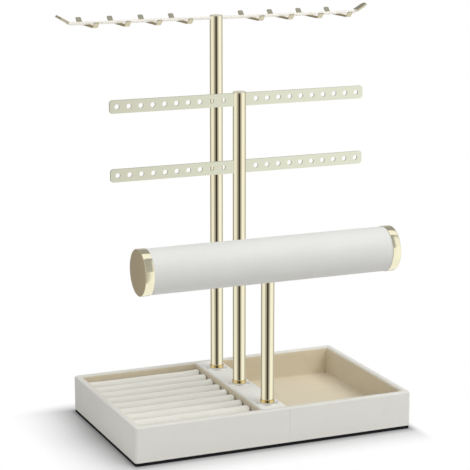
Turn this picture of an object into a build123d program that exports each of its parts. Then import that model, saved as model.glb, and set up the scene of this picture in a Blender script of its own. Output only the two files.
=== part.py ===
from build123d import *
import os
from math import cos, radians, sin, tan

# A jewelry stand: a leather-wrapped tray with a ring pad and an open bay, and three gold-plated posts
# on the partition between them, for necklaces, earrings and bracelets. Millimetres, +Z up, front at -Y,
# origin on the table under the middle of the tray.

# Tray
tray_width = 270.0
tray_depth = 170.0
rim_height = 35.5
board_thickness = 4.4
board_edge_radius = 0.8
leather_thickness = 0.8
corner_ease = 0.6
seam_width = 0.6
seam_depth = 0.3
partition_width = 25.0
bottom_board_thickness = 5.0
base_pad_thickness = 3.0
base_pad_inset = 0.3
liner_thickness = 0.8
liner_drop = 1.2

# Ring pad
roll_count = 9
roll_gap = 0.4
roll_drop = 3.7
roll_end_length = 6.0
roll_end_draw = 1.0
roll_foot_draw = 0.6
ring_card_thickness = 1.2

# Posts and their feet
post_diameter = 12.0
post_wall = 1.0
front_post_setback = 16.0
rear_post_setback = 23.0
middle_post_share = 0.542
flange_diameter = 20.0
flange_thickness = 1.0
flange_bevel = 0.3
ferrule_overhang = 0.4
ferrule_height = 3.0
ferrule_bevel = 0.3
spigot_length = 12.0
cap_thickness = 1.0
cap_bevel = 0.3
cap_plug_length = 8.0

# Screws from below
screw_diameter = 5.0
screw_engagement = 12.0
screw_head_diameter = 9.5
screw_head_height = 3.0
screw_head_bevel = 0.7
screw_recess_radius = 1.75
screw_recess_sides = 6
screw_recess_depth = 1.6
washer_diameter = 14.0
washer_thickness = 1.0
counterbore_depth = 3.0
counterbore_margin = 1.0

# Necklace rod and its cross hooks
rod_diameter = 3.0
rod_axis_height = 372.0
rod_corner_x = 141.3
rod_bend_radius = 6.0
rod_end_angle = 30.0
rod_end_length = 13.6
rod_end_width = 9.0
rod_end_thickness = 2.0
rod_press_length = 1.6
rod_tip_radius = 4.0
hooks_per_side = 4
first_hook_x = 35.2
last_hook_margin = 16.1
hook_width = 5.0
hook_thickness = 1.2
hook_weld_sink = 0.4
hook_corner_y = 21.9
hook_bend_radius = 3.0
hook_end_angle = 45.0
hook_end_length = 5.2
hook_tip_radius = 1.0

# Earring bars
bar_length = 249.0
bar_height = 12.0
bar_thickness = 1.5
bar_corner_radius = 3.0
upper_bar_height = 303.4
bar_spacing = 61.6
earring_hole_diameter = 4.3
earring_holes_per_side = 10
first_earring_hole_x = 16.2
last_earring_hole_margin = 7.05

# Bracelet bar
bracelet_axis_height = 168.0
bracelet_length = 246.0
core_outer_diameter = 38.4
core_wall = 2.5
sleeve_thickness = 1.1
end_cap_skirt = 8.0
end_cap_wall = 0.45
end_cap_face = 0.8
end_cap_edge_radius = 0.6
saddle_length = 44.0
saddle_roof = 2.5
saddle_socket_depth = 8.0
stud_diameter = 5.0
stud_tip_gap = 1.0
stud_plug_length = 12.0
insert_wall = 1.5
insert_length = 10.0

# Clearances
fit_clearance = 0.05
soft_clearance = 0.3
bore_clearance = 0.3
cut_overrun = 1.0

# Shares along a ring roll from its end, and of the arch over its width
roll_end_shares = (0.0, 0.08, 0.3, 1.0)
roll_draw_shares = (1.0, 0.45, 0.12, 0.0)
roll_arch_share = 0.5

# Sizes that follow from these
wall_thickness = board_thickness + 2 * leather_thickness
rim_radius = board_edge_radius + leather_thickness
corner_radius = rim_radius + corner_ease
inner_width = tray_width - 2 * wall_thickness
inner_depth = tray_depth - 2 * wall_thickness
floor_height = base_pad_thickness + bottom_board_thickness
liner_floor_height = floor_height + liner_thickness
roll_floor_height = liner_floor_height + ring_card_thickness
roll_top_height = rim_height - roll_drop
post_radius = post_diameter / 2
front_post_y = front_post_setback - inner_depth / 2
rear_post_y = inner_depth / 2 - rear_post_setback
middle_post_y = front_post_y + middle_post_share * (rear_post_y - front_post_y)
bore_radius = post_radius - post_wall
ferrule_radius = post_radius + ferrule_overhang
spigot_radius = bore_radius - fit_clearance
tube_bottom = rim_height + flange_thickness + ferrule_height
screw_radius = screw_diameter / 2
screw_seat_height = base_pad_thickness + counterbore_depth
screw_bore_radius = screw_radius + bore_clearance
counterbore_radius = washer_diameter / 2 + counterbore_margin
rod_radius = rod_diameter / 2
hook_axis_height = rod_axis_height - rod_radius - hook_thickness / 2 + hook_weld_sink
hook_pitch = (rod_corner_x - last_hook_margin - first_hook_x) / (hooks_per_side - 1)
rear_tube_top = rod_axis_height + rod_radius + fit_clearance
lower_bar_height = upper_bar_height - bar_spacing
last_earring_hole_x = bar_length / 2 - last_earring_hole_margin
earring_hole_pitch = (last_earring_hole_x - first_earring_hole_x) / (earring_holes_per_side - 1)
middle_tube_top = upper_bar_height + bar_height / 2 + fit_clearance
core_radius = core_outer_diameter / 2
core_bore_radius = core_radius - core_wall
sleeve_radius = core_radius + fit_clearance + sleeve_thickness
end_cap_radius = sleeve_radius + fit_clearance + end_cap_wall
core_length = bracelet_length - 2 * end_cap_face
saddle_radius = core_bore_radius - fit_clearance
front_tube_top = bracelet_axis_height - core_bore_radius + saddle_socket_depth
insert_diameter = stud_diameter + 2 * insert_wall
stud_length = insert_length - stud_tip_gap
saddle_top = front_tube_top + insert_length + saddle_roof

post_ys = {"rear": rear_post_y, "middle": middle_post_y, "front": front_post_y}
screw_places = [(0, post_y) for post_y in post_ys.values()]
tube_tops = {"rear": rear_tube_top, "middle": middle_tube_top, "front": front_tube_top}
up = Vector(0, 0, 1)

os.makedirs("parts", exist_ok=True)


def save(piece, name):
    """Label a finished piece and write its STEP file."""
    piece.part.label = name
    export_step(piece.part, f"parts/{name}.step")


def post_plane(post_y, height):
    """Level plane on a post's axis."""
    return Plane((0, post_y, height))


# Foam sheet under the tray, with a hole below each screw
with BuildPart() as base_pad:
    with BuildSketch():
        RectangleRounded(tray_width - 2 * base_pad_inset, tray_depth - 2 * base_pad_inset, corner_radius)
        with Locations(*screw_places):
            Circle(counterbore_radius, mode=Mode.SUBTRACT)
    extrude(amount=base_pad_thickness)
save(base_pad, "base_pad")

# Fibreboard floor between the walls
with BuildPart() as bottom_board:
    with BuildSketch(Plane.XY.offset(base_pad_thickness)):
        Rectangle(inner_width, inner_depth)
        with Locations(*screw_places):
            Circle(screw_bore_radius, mode=Mode.SUBTRACT)
    extrude(amount=bottom_board_thickness)
    with BuildSketch(Plane.XY.offset(base_pad_thickness)):
        with Locations(*screw_places):
            Circle(counterbore_radius)
    extrude(amount=counterbore_depth, mode=Mode.SUBTRACT)
save(bottom_board, "bottom_board")

# Ring of fibreboard walls, before its mitres are cut
with BuildPart() as board_ring:
    with BuildSketch(Plane.XY.offset(base_pad_thickness)):
        RectangleRounded(
            tray_width - 2 * leather_thickness,
            tray_depth - 2 * leather_thickness,
            corner_radius - leather_thickness,
        )
        Rectangle(
            inner_width + 2 * leather_thickness,
            inner_depth + 2 * leather_thickness,
            mode=Mode.SUBTRACT,
        )
    extrude(amount=rim_height - leather_thickness - base_pad_thickness)
    fillet(board_ring.faces().sort_by(Axis.Z)[-1].edges(), board_edge_radius)

# Leather folded over that ring, outside, rim and inside
with BuildPart() as leather_ring:
    with BuildSketch(Plane.XY.offset(base_pad_thickness)):
        RectangleRounded(tray_width, tray_depth, corner_radius)
        Rectangle(inner_width, inner_depth, mode=Mode.SUBTRACT)
    extrude(amount=rim_height - base_pad_thickness)
    fillet(leather_ring.faces().sort_by(Axis.Z)[-1].edges(), rim_radius)
    add(board_ring.part, mode=Mode.SUBTRACT)

# The four walls, cut from the two rings by upright planes through the corners
half_width = tray_width / 2
half_depth = tray_depth / 2
corners = {
    "front_left": (-half_width, -half_depth, 0),
    "front_right": (half_width, -half_depth, 0),
    "rear_left": (-half_width, half_depth, 0),
    "rear_right": (half_width, half_depth, 0),
}
mitres = {
    "front": {"front_left": (1, -1, 0), "front_right": (-1, -1, 0)},
    "rear": {"rear_left": (1, 1, 0), "rear_right": (-1, 1, 0)},
    "left": {"front_left": (-1, 1, 0), "rear_left": (-1, -1, 0)},
    "right": {"front_right": (1, 1, 0), "rear_right": (1, -1, 0)},
}
for side, cuts in mitres.items():
    mitre_planes = [Plane(corners[corner], z_dir=inward) for corner, inward in cuts.items()]
    with BuildPart() as wall_board:
        add(board_ring.part)
        for mitre_plane in mitre_planes:
            split(bisect_by=mitre_plane, keep=Keep.TOP)
    save(wall_board, f"{side}_board")
    with BuildPart() as wall_wrap:
        add(leather_ring.part)
        for mitre_plane in mitre_planes:
            split(bisect_by=mitre_plane, keep=Keep.TOP)
        if side == "front":
            # Butt seam where the two ends of the outer leather meet, in line with the partition
            with BuildSketch(Plane.XY.offset(base_pad_thickness)):
                with Locations((partition_width / 2, -half_depth)):
                    Rectangle(seam_width, 2 * seam_depth)
            extrude(amount=rim_height - rim_radius - base_pad_thickness, mode=Mode.SUBTRACT)
    save(wall_wrap, f"{side}_wrap")

# Block that the posts are screwed through
with BuildPart() as partition_core:
    with BuildSketch(Plane.XY.offset(floor_height)):
        Rectangle(partition_width - 2 * leather_thickness, inner_depth)
        with Locations(*screw_places):
            Circle(screw_bore_radius, mode=Mode.SUBTRACT)
    extrude(amount=rim_height - leather_thickness - floor_height)
    fillet(partition_core.edges().filter_by(Axis.Y).group_by(Axis.Z)[-1], board_edge_radius)
save(partition_core, "partition_core")

# Leather over the block, flush with the rim
with BuildPart() as partition_wrap:
    with BuildSketch(Plane.XY.offset(floor_height)):
        Rectangle(partition_width, inner_depth)
    extrude(amount=rim_height - floor_height)
    fillet(partition_wrap.edges().filter_by(Axis.Y).group_by(Axis.Z)[-1], rim_radius)
    add(partition_core.part, mode=Mode.SUBTRACT)
    with BuildSketch(Plane.XY.offset(floor_height)):
        with Locations(*screw_places):
            Circle(screw_bore_radius)
    extrude(amount=rim_height - floor_height, mode=Mode.SUBTRACT)
save(partition_wrap, "partition_wrap")

# Velvet-covered linings of the two bays, open at the top
bay_width = (inner_width - partition_width) / 2
bay_middle_x = (inner_width + partition_width) / 4
liner_height = rim_height - liner_drop - floor_height
for bay, bay_x in {"ring_bay": -bay_middle_x, "open_bay": bay_middle_x}.items():
    with BuildPart() as bay_liner:
        with BuildSketch(Plane.XY.offset(floor_height)):
            with Locations((bay_x, 0)):
                Rectangle(bay_width, inner_depth)
        extrude(amount=liner_height)
        with BuildSketch(Plane.XY.offset(liner_floor_height)):
            with Locations((bay_x, 0)):
                Rectangle(bay_width - 2 * liner_thickness, inner_depth - 2 * liner_thickness)
        extrude(amount=liner_height, mode=Mode.SUBTRACT)
    save(bay_liner, f"{bay}_liner")

# Card that carries the ring rolls
lined_width = bay_width - 2 * liner_thickness
lined_depth = inner_depth - 2 * liner_thickness
with BuildPart() as ring_card:
    with BuildSketch(Plane.XY.offset(liner_floor_height)):
        with Locations((-bay_middle_x, 0)):
            Rectangle(lined_width - 2 * soft_clearance, lined_depth - 2 * soft_clearance)
    extrude(amount=ring_card_thickness)
save(ring_card, "ring_card")

# Foam rolls across the ring bay: arched tops, feet drawn in, and ends that fall away
roll_length = lined_width - 2 * soft_clearance
roll_pitch = (lined_depth - 2 * soft_clearance + roll_gap) / roll_count
roll_half_width = (roll_pitch - roll_gap) / 2
roll_left_x = -bay_middle_x - roll_length / 2
near_stations = [(share * roll_end_length, draw) for share, draw in zip(roll_end_shares, roll_draw_shares)]
far_stations = [(roll_length - along, draw) for along, draw in reversed(near_stations)]
for number in range(1, roll_count + 1):
    roll_y = (number - (roll_count + 1) / 2) * roll_pitch
    with BuildPart() as ring_roll:
        for along, draw_share in near_stations + far_stations:
            drawn_in = draw_share * roll_end_draw
            half = roll_half_width - drawn_in / 2
            shoulder = roll_top_height - roll_arch_share * roll_half_width
            with BuildSketch(Plane((roll_left_x + along, roll_y, 0), x_dir=(0, 1, 0), z_dir=(1, 0, 0))):
                with BuildLine():
                    Polyline(
                        (-half, shoulder),
                        (roll_foot_draw - half, roll_floor_height),
                        (half - roll_foot_draw, roll_floor_height),
                        (half, shoulder),
                    )
                    ThreePointArc((half, shoulder), (0, roll_top_height - drawn_in), (-half, shoulder))
                make_face()
        loft(ruled=True)
    save(ring_roll, f"ring_roll_{number}")

# Parts that the three posts share: foot, tube, screw and washer
for post, post_y in post_ys.items():
    with BuildPart() as post_foot:
        with BuildSketch(post_plane(post_y, rim_height)):
            Circle(flange_diameter / 2)
        extrude(amount=flange_thickness)
        chamfer(post_foot.edges().sort_by(Axis.Z)[-1], flange_bevel)
        with BuildSketch(post_plane(post_y, rim_height + flange_thickness)):
            Circle(ferrule_radius)
        extrude(amount=ferrule_height)
        chamfer(post_foot.edges().sort_by(Axis.Z)[-1], ferrule_bevel)
        with BuildSketch(post_plane(post_y, tube_bottom)):
            Circle(spigot_radius)
        extrude(amount=spigot_length)
        with BuildSketch(post_plane(post_y, rim_height)):
            Circle(screw_radius + fit_clearance)
        extrude(amount=tube_bottom + spigot_length - rim_height, mode=Mode.SUBTRACT)
    save(post_foot, f"{post}_post_foot")

    with BuildPart() as post_tube:
        with BuildSketch(post_plane(post_y, tube_bottom)):
            Circle(post_radius)
            Circle(bore_radius, mode=Mode.SUBTRACT)
        extrude(amount=tube_tops[post] - tube_bottom)
        if post == "rear":
            # Notch that the rod lies in
            with BuildSketch(Plane((0, post_y, rod_axis_height), x_dir=(0, 1, 0), z_dir=(1, 0, 0))):
                Circle(rod_radius + fit_clearance)
                with Locations((0, rod_radius)):
                    Rectangle(rod_diameter + 2 * fit_clearance, rod_diameter)
            extrude(amount=post_diameter, both=True, mode=Mode.SUBTRACT)
        if post == "middle":
            # Slots that the earring bars pass through, the upper one open at the top
            for slot_height in (upper_bar_height, lower_bar_height):
                with BuildSketch(Plane((0, post_y, slot_height), x_dir=(0, 1, 0), z_dir=(1, 0, 0))):
                    Rectangle(bar_thickness + 2 * fit_clearance, bar_height + 2 * fit_clearance)
                extrude(amount=post_diameter, both=True, mode=Mode.SUBTRACT)
    save(post_tube, f"{post}_post")

    with BuildPart() as post_screw:
        with BuildSketch(post_plane(post_y, screw_seat_height - washer_thickness)):
            Circle(screw_radius)
        extrude(amount=tube_bottom + screw_engagement - screw_seat_height)
        with BuildSketch(post_plane(post_y, screw_seat_height - washer_thickness - screw_head_height)):
            Circle(screw_head_diameter / 2)
        extrude(amount=screw_head_height)
        chamfer(post_screw.edges().sort_by(Axis.Z)[0], screw_head_bevel)
        with BuildSketch(post_plane(post_y, screw_seat_height - washer_thickness - screw_head_height)):
            RegularPolygon(screw_recess_radius, screw_recess_sides)
        extrude(amount=screw_recess_depth, mode=Mode.SUBTRACT)
    save(post_screw, f"{post}_post_screw")

    with BuildPart() as post_washer:
        with BuildSketch(post_plane(post_y, screw_seat_height - washer_thickness)):
            Circle(washer_diameter / 2)
            Circle(screw_radius + fit_clearance, mode=Mode.SUBTRACT)
        extrude(amount=washer_thickness)
    save(post_washer, f"{post}_post_washer")

# Caps of the two open posts, whose plugs straddle the rod and the upper bar
cap_slots = {"rear": rod_diameter, "middle": bar_thickness}
for post, slot_width in cap_slots.items():
    post_y = post_ys[post]
    tube_top = tube_tops[post]
    with BuildPart() as post_cap:
        with BuildSketch(post_plane(post_y, tube_top)):
            Circle(post_radius)
        extrude(amount=cap_thickness)
        chamfer(post_cap.edges().sort_by(Axis.Z)[-1], cap_bevel)
        with BuildSketch(post_plane(post_y, tube_top)):
            Circle(spigot_radius)
            Rectangle(post_diameter, slot_width + 2 * fit_clearance, mode=Mode.SUBTRACT)
        extrude(amount=-cap_plug_length)
    save(post_cap, f"{post}_post_cap")


def rod_end(hand):
    """Upturned end of the rod: bent as round wire, then pressed out to a rounded paddle."""
    outward = Vector(hand, 0, 0)
    side = up.cross(outward)
    turn = radians(rod_end_angle)
    slope = outward * cos(turn) + up * sin(turn)
    root = Vector(hand * rod_straight, rear_post_y, rod_axis_height)
    press_root = root + outward * (rod_bend_radius * sin(turn)) + up * (rod_bend_radius * (1 - cos(turn)))
    paddle_root = press_root + slope * rod_press_length
    paddle_length = rod_end_length - rod_press_length
    with BuildPart() as wire_end:
        with BuildLine(Plane(root, x_dir=outward, z_dir=outward.cross(up))) as bend:
            JernArc((0, 0), (1, 0), rod_bend_radius, rod_end_angle)
        with BuildSketch(Plane(root, x_dir=side, z_dir=outward)):
            Circle(rod_radius)
        sweep(path=bend.line)
        with BuildSketch(Plane(press_root, x_dir=side, z_dir=slope)):
            with BuildLine():
                for start_angle in range(45, 405, 90):
                    CenterArc((0, 0), rod_radius, start_angle, 90)
            make_face()
        with BuildSketch(Plane(paddle_root, x_dir=side, z_dir=slope)):
            Rectangle(rod_end_width, rod_end_thickness)
        loft()
        with BuildSketch(Plane(paddle_root, x_dir=slope, z_dir=slope.cross(side))) as paddle:
            with Locations((paddle_length / 2, 0)):
                Rectangle(paddle_length, rod_end_width)
            fillet(paddle.vertices().group_by(Axis.X)[-1], rod_tip_radius)
        extrude(amount=rod_end_thickness / 2, both=True)
    return wire_end.part


def hook_half(hook_x, hand):
    """Half of a cross hook: flat strip from under the rod outwards, bent up to a tab."""
    outward = Vector(0, hand, 0)
    side = up.cross(outward)
    turn = radians(hook_end_angle)
    slope = outward * cos(turn) + up * sin(turn)
    root = Vector(hook_x, rear_post_y, hook_axis_height)
    bend_x = hook_corner_y - hook_bend_radius * tan(turn / 2)
    tab_x = bend_x + hook_bend_radius * sin(turn)
    tab_y = hook_bend_radius * (1 - cos(turn))
    tip = (tab_x + hook_end_length * cos(turn), tab_y + hook_end_length * sin(turn))
    with BuildPart() as strip:
        with BuildLine(Plane(root, x_dir=outward, z_dir=outward.cross(up))) as strip_path:
            Line((0, 0), (bend_x, 0))
            JernArc((bend_x, 0), (1, 0), hook_bend_radius, hook_end_angle)
            Line((tab_x, tab_y), tip)
        with BuildSketch(Plane(root, x_dir=side, z_dir=outward)):
            Rectangle(hook_width, hook_thickness)
        sweep(path=strip_path.line)
        tip_face = strip.faces().sort_by(Axis(root, slope))[-1]
        fillet(tip_face.edges().sort_by(SortBy.LENGTH)[:2], hook_tip_radius)
    return strip.part


# Rod through the top of the rear post, with its two upturned ends
rod_straight = rod_corner_x - rod_bend_radius * tan(radians(rod_end_angle / 2))
with BuildPart() as hook_rod:
    with BuildSketch(Plane((0, rear_post_y, rod_axis_height), x_dir=(0, 1, 0), z_dir=(1, 0, 0))):
        Circle(rod_radius)
    extrude(amount=rod_straight, both=True)
    add([rod_end(hand) for hand in (-1, 1)])
save(hook_rod, "hook_rod")

# Double hooks welded under the rod, saddled to its round
right_hook_xs = [first_hook_x + step * hook_pitch for step in range(hooks_per_side)]
left_hook_xs = [-hook_x for hook_x in reversed(right_hook_xs)]
for number, hook_x in enumerate(left_hook_xs + right_hook_xs, start=1):
    with BuildPart() as cross_hook:
        add([hook_half(hook_x, hand) for hand in (-1, 1)])
        with BuildSketch(Plane((hook_x, rear_post_y, rod_axis_height), x_dir=(0, 1, 0), z_dir=(1, 0, 0))):
            Circle(rod_radius + fit_clearance)
        extrude(amount=hook_width, both=True, mode=Mode.SUBTRACT)
    save(cross_hook, f"cross_hook_{number}")

# Perforated flat bars for earrings
right_hole_xs = [first_earring_hole_x + step * earring_hole_pitch for step in range(earring_holes_per_side)]
hole_xs = [-hole_x for hole_x in right_hole_xs] + right_hole_xs
for level, bar_axis_height in {"upper": upper_bar_height, "lower": lower_bar_height}.items():
    with BuildPart() as earring_bar:
        with BuildSketch(Plane((0, middle_post_y, bar_axis_height), x_dir=(1, 0, 0), z_dir=(0, -1, 0))):
            RectangleRounded(bar_length, bar_height, bar_corner_radius)
            with Locations(*[(hole_x, 0) for hole_x in hole_xs]):
                Circle(earring_hole_diameter / 2, mode=Mode.SUBTRACT)
        extrude(amount=bar_thickness / 2, both=True)
    save(earring_bar, f"{level}_earring_bar")

# Bracelet bar: a core tube with a leather sleeve, both pierced from below by the front post
bracelet_plane = Plane((0, front_post_y, bracelet_axis_height), x_dir=(0, 1, 0), z_dir=(1, 0, 0))
below_bracelet = bracelet_axis_height - sleeve_radius - cut_overrun
with BuildPart() as bracelet_core:
    with BuildSketch(bracelet_plane):
        Circle(core_radius)
        Circle(core_bore_radius, mode=Mode.SUBTRACT)
    extrude(amount=core_length / 2, both=True)
    with BuildSketch(post_plane(front_post_y, below_bracelet)):
        Circle(post_radius + fit_clearance)
    extrude(amount=bracelet_axis_height - below_bracelet, mode=Mode.SUBTRACT)
save(bracelet_core, "bracelet_core")

with BuildPart() as bracelet_sleeve:
    with BuildSketch(bracelet_plane):
        Circle(sleeve_radius)
        Circle(core_radius + fit_clearance, mode=Mode.SUBTRACT)
    extrude(amount=core_length / 2, both=True)
    with BuildSketch(post_plane(front_post_y, below_bracelet)):
        Circle(post_radius + fit_clearance)
    extrude(amount=bracelet_axis_height - below_bracelet, mode=Mode.SUBTRACT)
save(bracelet_sleeve, "bracelet_sleeve")

# Pressed metal cups over the two ends
for hand, cap_side in {-1: "left", 1: "right"}.items():
    cap_plane = Plane(
        (hand * bracelet_length / 2, front_post_y, bracelet_axis_height), x_dir=(0, 1, 0), z_dir=(-hand, 0, 0)
    )
    with BuildPart() as end_cap:
        with BuildSketch(cap_plane):
            Circle(end_cap_radius)
        extrude(amount=end_cap_skirt)
        fillet(end_cap.edges().sort_by(Axis.X)[-1 if hand > 0 else 0], end_cap_edge_radius)
        with BuildSketch(cap_plane.offset(end_cap_face)):
            Circle(sleeve_radius + fit_clearance)
        extrude(amount=end_cap_skirt, mode=Mode.SUBTRACT)
    save(end_cap, f"{cap_side}_end_cap")

# Half-round block inside the core, with a socket for the post and a pocket for the threaded insert
with BuildPart() as bracelet_saddle:
    with BuildSketch(bracelet_plane):
        Circle(saddle_radius)
        with Locations((0, saddle_top - bracelet_axis_height + saddle_radius)):
            Rectangle(2 * saddle_radius, 2 * saddle_radius, mode=Mode.SUBTRACT)
    extrude(amount=saddle_length / 2, both=True)
    with BuildSketch(post_plane(front_post_y, below_bracelet)):
        Circle(post_radius + fit_clearance)
    extrude(amount=front_tube_top + fit_clearance - below_bracelet, mode=Mode.SUBTRACT)
    with BuildSketch(post_plane(front_post_y, front_tube_top)):
        Circle(insert_diameter / 2 + fit_clearance)
    extrude(amount=insert_length + 2 * fit_clearance, mode=Mode.SUBTRACT)
save(bracelet_saddle, "bracelet_saddle")

with BuildPart() as saddle_insert:
    with BuildSketch(post_plane(front_post_y, front_tube_top + fit_clearance)):
        Circle(insert_diameter / 2)
        Circle(stud_diameter / 2 + fit_clearance, mode=Mode.SUBTRACT)
    extrude(amount=insert_length)
save(saddle_insert, "saddle_insert")

# Plug in the top of the front post, with the stud that the bracelet bar is screwed on to
with BuildPart() as front_post_stud:
    with BuildSketch(post_plane(front_post_y, front_tube_top - stud_plug_length)):
        Circle(spigot_radius)
    extrude(amount=stud_plug_length)
    with BuildSketch(post_plane(front_post_y, front_tube_top)):
        Circle(stud_diameter / 2)
    extrude(amount=stud_length)
save(front_post_stud, "front_post_stud")
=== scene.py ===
"""Looks of the jewelry stand: leather tray, velvet bays, ring rolls, gold masts and a plain studio."""

import math
from contextlib import contextmanager

import bmesh
import bpy
from bpy.props import FloatProperty, FloatVectorProperty, IntProperty, PointerProperty
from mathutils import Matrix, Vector, noise


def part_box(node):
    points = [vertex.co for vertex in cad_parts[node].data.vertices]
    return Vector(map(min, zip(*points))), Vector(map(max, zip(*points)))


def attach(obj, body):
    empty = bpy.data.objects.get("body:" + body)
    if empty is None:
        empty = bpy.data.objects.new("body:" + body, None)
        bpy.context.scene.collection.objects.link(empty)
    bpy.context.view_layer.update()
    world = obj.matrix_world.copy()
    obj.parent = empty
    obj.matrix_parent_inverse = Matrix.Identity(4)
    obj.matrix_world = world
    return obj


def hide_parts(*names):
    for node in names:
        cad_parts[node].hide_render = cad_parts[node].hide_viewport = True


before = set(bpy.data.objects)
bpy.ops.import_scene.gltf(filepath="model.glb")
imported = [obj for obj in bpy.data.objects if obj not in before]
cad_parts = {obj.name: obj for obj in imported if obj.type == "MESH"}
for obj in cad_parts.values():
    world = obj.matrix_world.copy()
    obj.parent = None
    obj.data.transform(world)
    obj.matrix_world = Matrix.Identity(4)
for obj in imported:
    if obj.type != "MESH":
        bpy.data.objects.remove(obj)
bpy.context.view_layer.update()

bl_info = {
    "name": "Jewelry stand",
    "version": (1, 0, 0),
    "blender": (4, 5, 0),
    "location": "View3D > Sidebar > Stand",
    "description": "Dresses the packed jewelry stand with leather, velvet, padded rolls and gold plating",
    "category": "Object",
}

MM = 0.001

WALL_SIDES = ("front", "right", "rear", "left")
POSTS = ("rear", "middle", "front")
ROLL_COUNT = 9
HOOK_COUNT = 8
HOLES_PER_SIDE = 10

# Sizes that the frame's boxes don't show
CLEARANCE = 0.05 * MM
TUBE_WALL = 1.0 * MM
DISC_THICKNESS = 1.0 * MM
SPIGOT_RADIUS = 4.95 * MM
FERRULE_RADIUS = 6.4 * MM
FERRULE_HEIGHT = 3.0 * MM
SCREW_BORE_RADIUS = 2.55 * MM
ROD_RADIUS = 1.5 * MM
HOOK_THICKNESS = 1.2 * MM

# Places and sizes that the frame gives
TRAY_LOW, TRAY_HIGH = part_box("front_wrap")
LEFT_WRAP_LOW, LEFT_WRAP_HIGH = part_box("left_wrap")
TRAY_HALF_WIDTH = -LEFT_WRAP_LOW.x
TRAY_HALF_DEPTH = -TRAY_LOW.y
WALL_THICKNESS = LEFT_WRAP_HIGH.x - LEFT_WRAP_LOW.x
RIM_HEIGHT = TRAY_HIGH.z
WALL_FOOT = TRAY_LOW.z
POST_PLACES = {post: (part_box(f"{post}_post")[0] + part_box(f"{post}_post")[1]) / 2 for post in POSTS}

# The camera, the level direction from the stand to it, and its right
CAMERA_PLACE = Vector((-0.6398, -1.4892, 0.5397))
CAMERA_AIM = Vector((0.38275, 0.89780, -0.21790))
CAMERA_LENS = 138.37
TO_CAMERA = Vector((-CAMERA_AIM.x, -CAMERA_AIM.y, 0)).normalized()
CAMERA_RIGHT = Vector((-TO_CAMERA.y, TO_CAMERA.x, 0))

WHITE = (1, 1, 1, 1)
FLOOR_REACH = 6.0

# The studio that polished metal mirrors: (degrees from the camera, tone) round the horizon,
# and (height, tone) above it, with the lit ceiling in all three
ROUND_TONES = (
    (-180, 0.60), (-150, 0.34), (-122, 0.34), (-98, 0.92), (-55, 0.92), (-38, 0.50), (-16, 0.30), (-8, 0.02),
    (8, 0.02), (16, 0.28), (33, 0.55), (40, 0.62), (44, 0.92), (50, 1.0), (95, 1.0), (120, 0.50), (180, 0.60),
)
CEILING = ((0.955, 1.0), (1.0, 1.0))
TONES_BEFORE = ((0.0, 0.45), (0.94, 0.40), *CEILING)
TONES_BEHIND = ((0.0, 0.95), (0.24, 0.95), (0.34, 0.34), (0.94, 0.34), *CEILING)
TONES_BESIDE = ((0.0, 0.95), (0.82, 0.95), (0.87, 0.40), (0.94, 0.40), *CEILING)
TONE_BELOW = (0.95, 0.95, 0.95, 1)

# Soft edges in that studio, as ranges of a direction's X, Y or Z, or of its share toward the camera
FRONT_HALF = (-0.25, 0.25)
SIDE_BOX_X = (0.405, 0.45)
TOP_BOX_FRONT_Y = (-0.17, -0.12)
TOP_BOX_REAR_Y = (0.32, 0.37)
TOP_BOX_Z = (0.78, 0.84)
HORIZON_TOP_Z = (0.17, 0.24)
FLOOR_EDGE_Z = (-0.68, -0.60)


def colour_setting(name, description, default):
    """Setting for a colour."""
    return FloatVectorProperty(name=name, description=description, subtype="COLOR", size=4, min=0, max=1,
                               default=(*default, 1))


def size_setting(name, description, millimetres):
    """Setting for a length, kept in metres."""
    return FloatProperty(name=name, description=description, unit="LENGTH", precision=5,
                         default=millimetres * MM)


class TrayLook(bpy.types.PropertyGroup):
    """Sizes and colours of the tray and its bays."""

    leather_colour: colour_setting("Leather", "Leather over the four walls", (0.71, 0.70, 0.652))
    # Painted light: the walls' leather painted lighter, because the partition's top takes more light from
    # above
    partition_colour_painted_lighter: colour_setting("Partition leather painted lighter", "Leather over the partition", (0.81, 0.805, 0.76))
    velvet_colour: colour_setting("Velvet", "Velvet that lines the two bays", (0.66, 0.583, 0.435))
    roll_colour: colour_setting("Roll cloth", "Soft cloth of the ring rolls", (0.775, 0.762, 0.697))
    leather_thickness: size_setting("Leather thickness", "Thickness of the folded leather", 0.8)
    rim_radius: size_setting("Rim radius", "Roundness of the folded rim", 1.6)
    corner_radius: size_setting("Corner radius", "Roundness of the four upright corners", 2.2)
    pinch_depth: size_setting("Mitre pinch", "How far the rim dips where two folds meet", 0.35)
    seam_place: size_setting("Seam place", "Where the ends of the outer leather meet on the front", 12.5)
    seam_depth: size_setting("Seam depth", "Depth of that seam", 0.25)
    roll_swell: size_setting("Roll swell", "Most that a roll's cloth stands out when its foam fills it", 0.45)
    roll_unevenness: size_setting("Roll unevenness", "Gentle waves that differ from roll to roll", 0.22)


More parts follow.
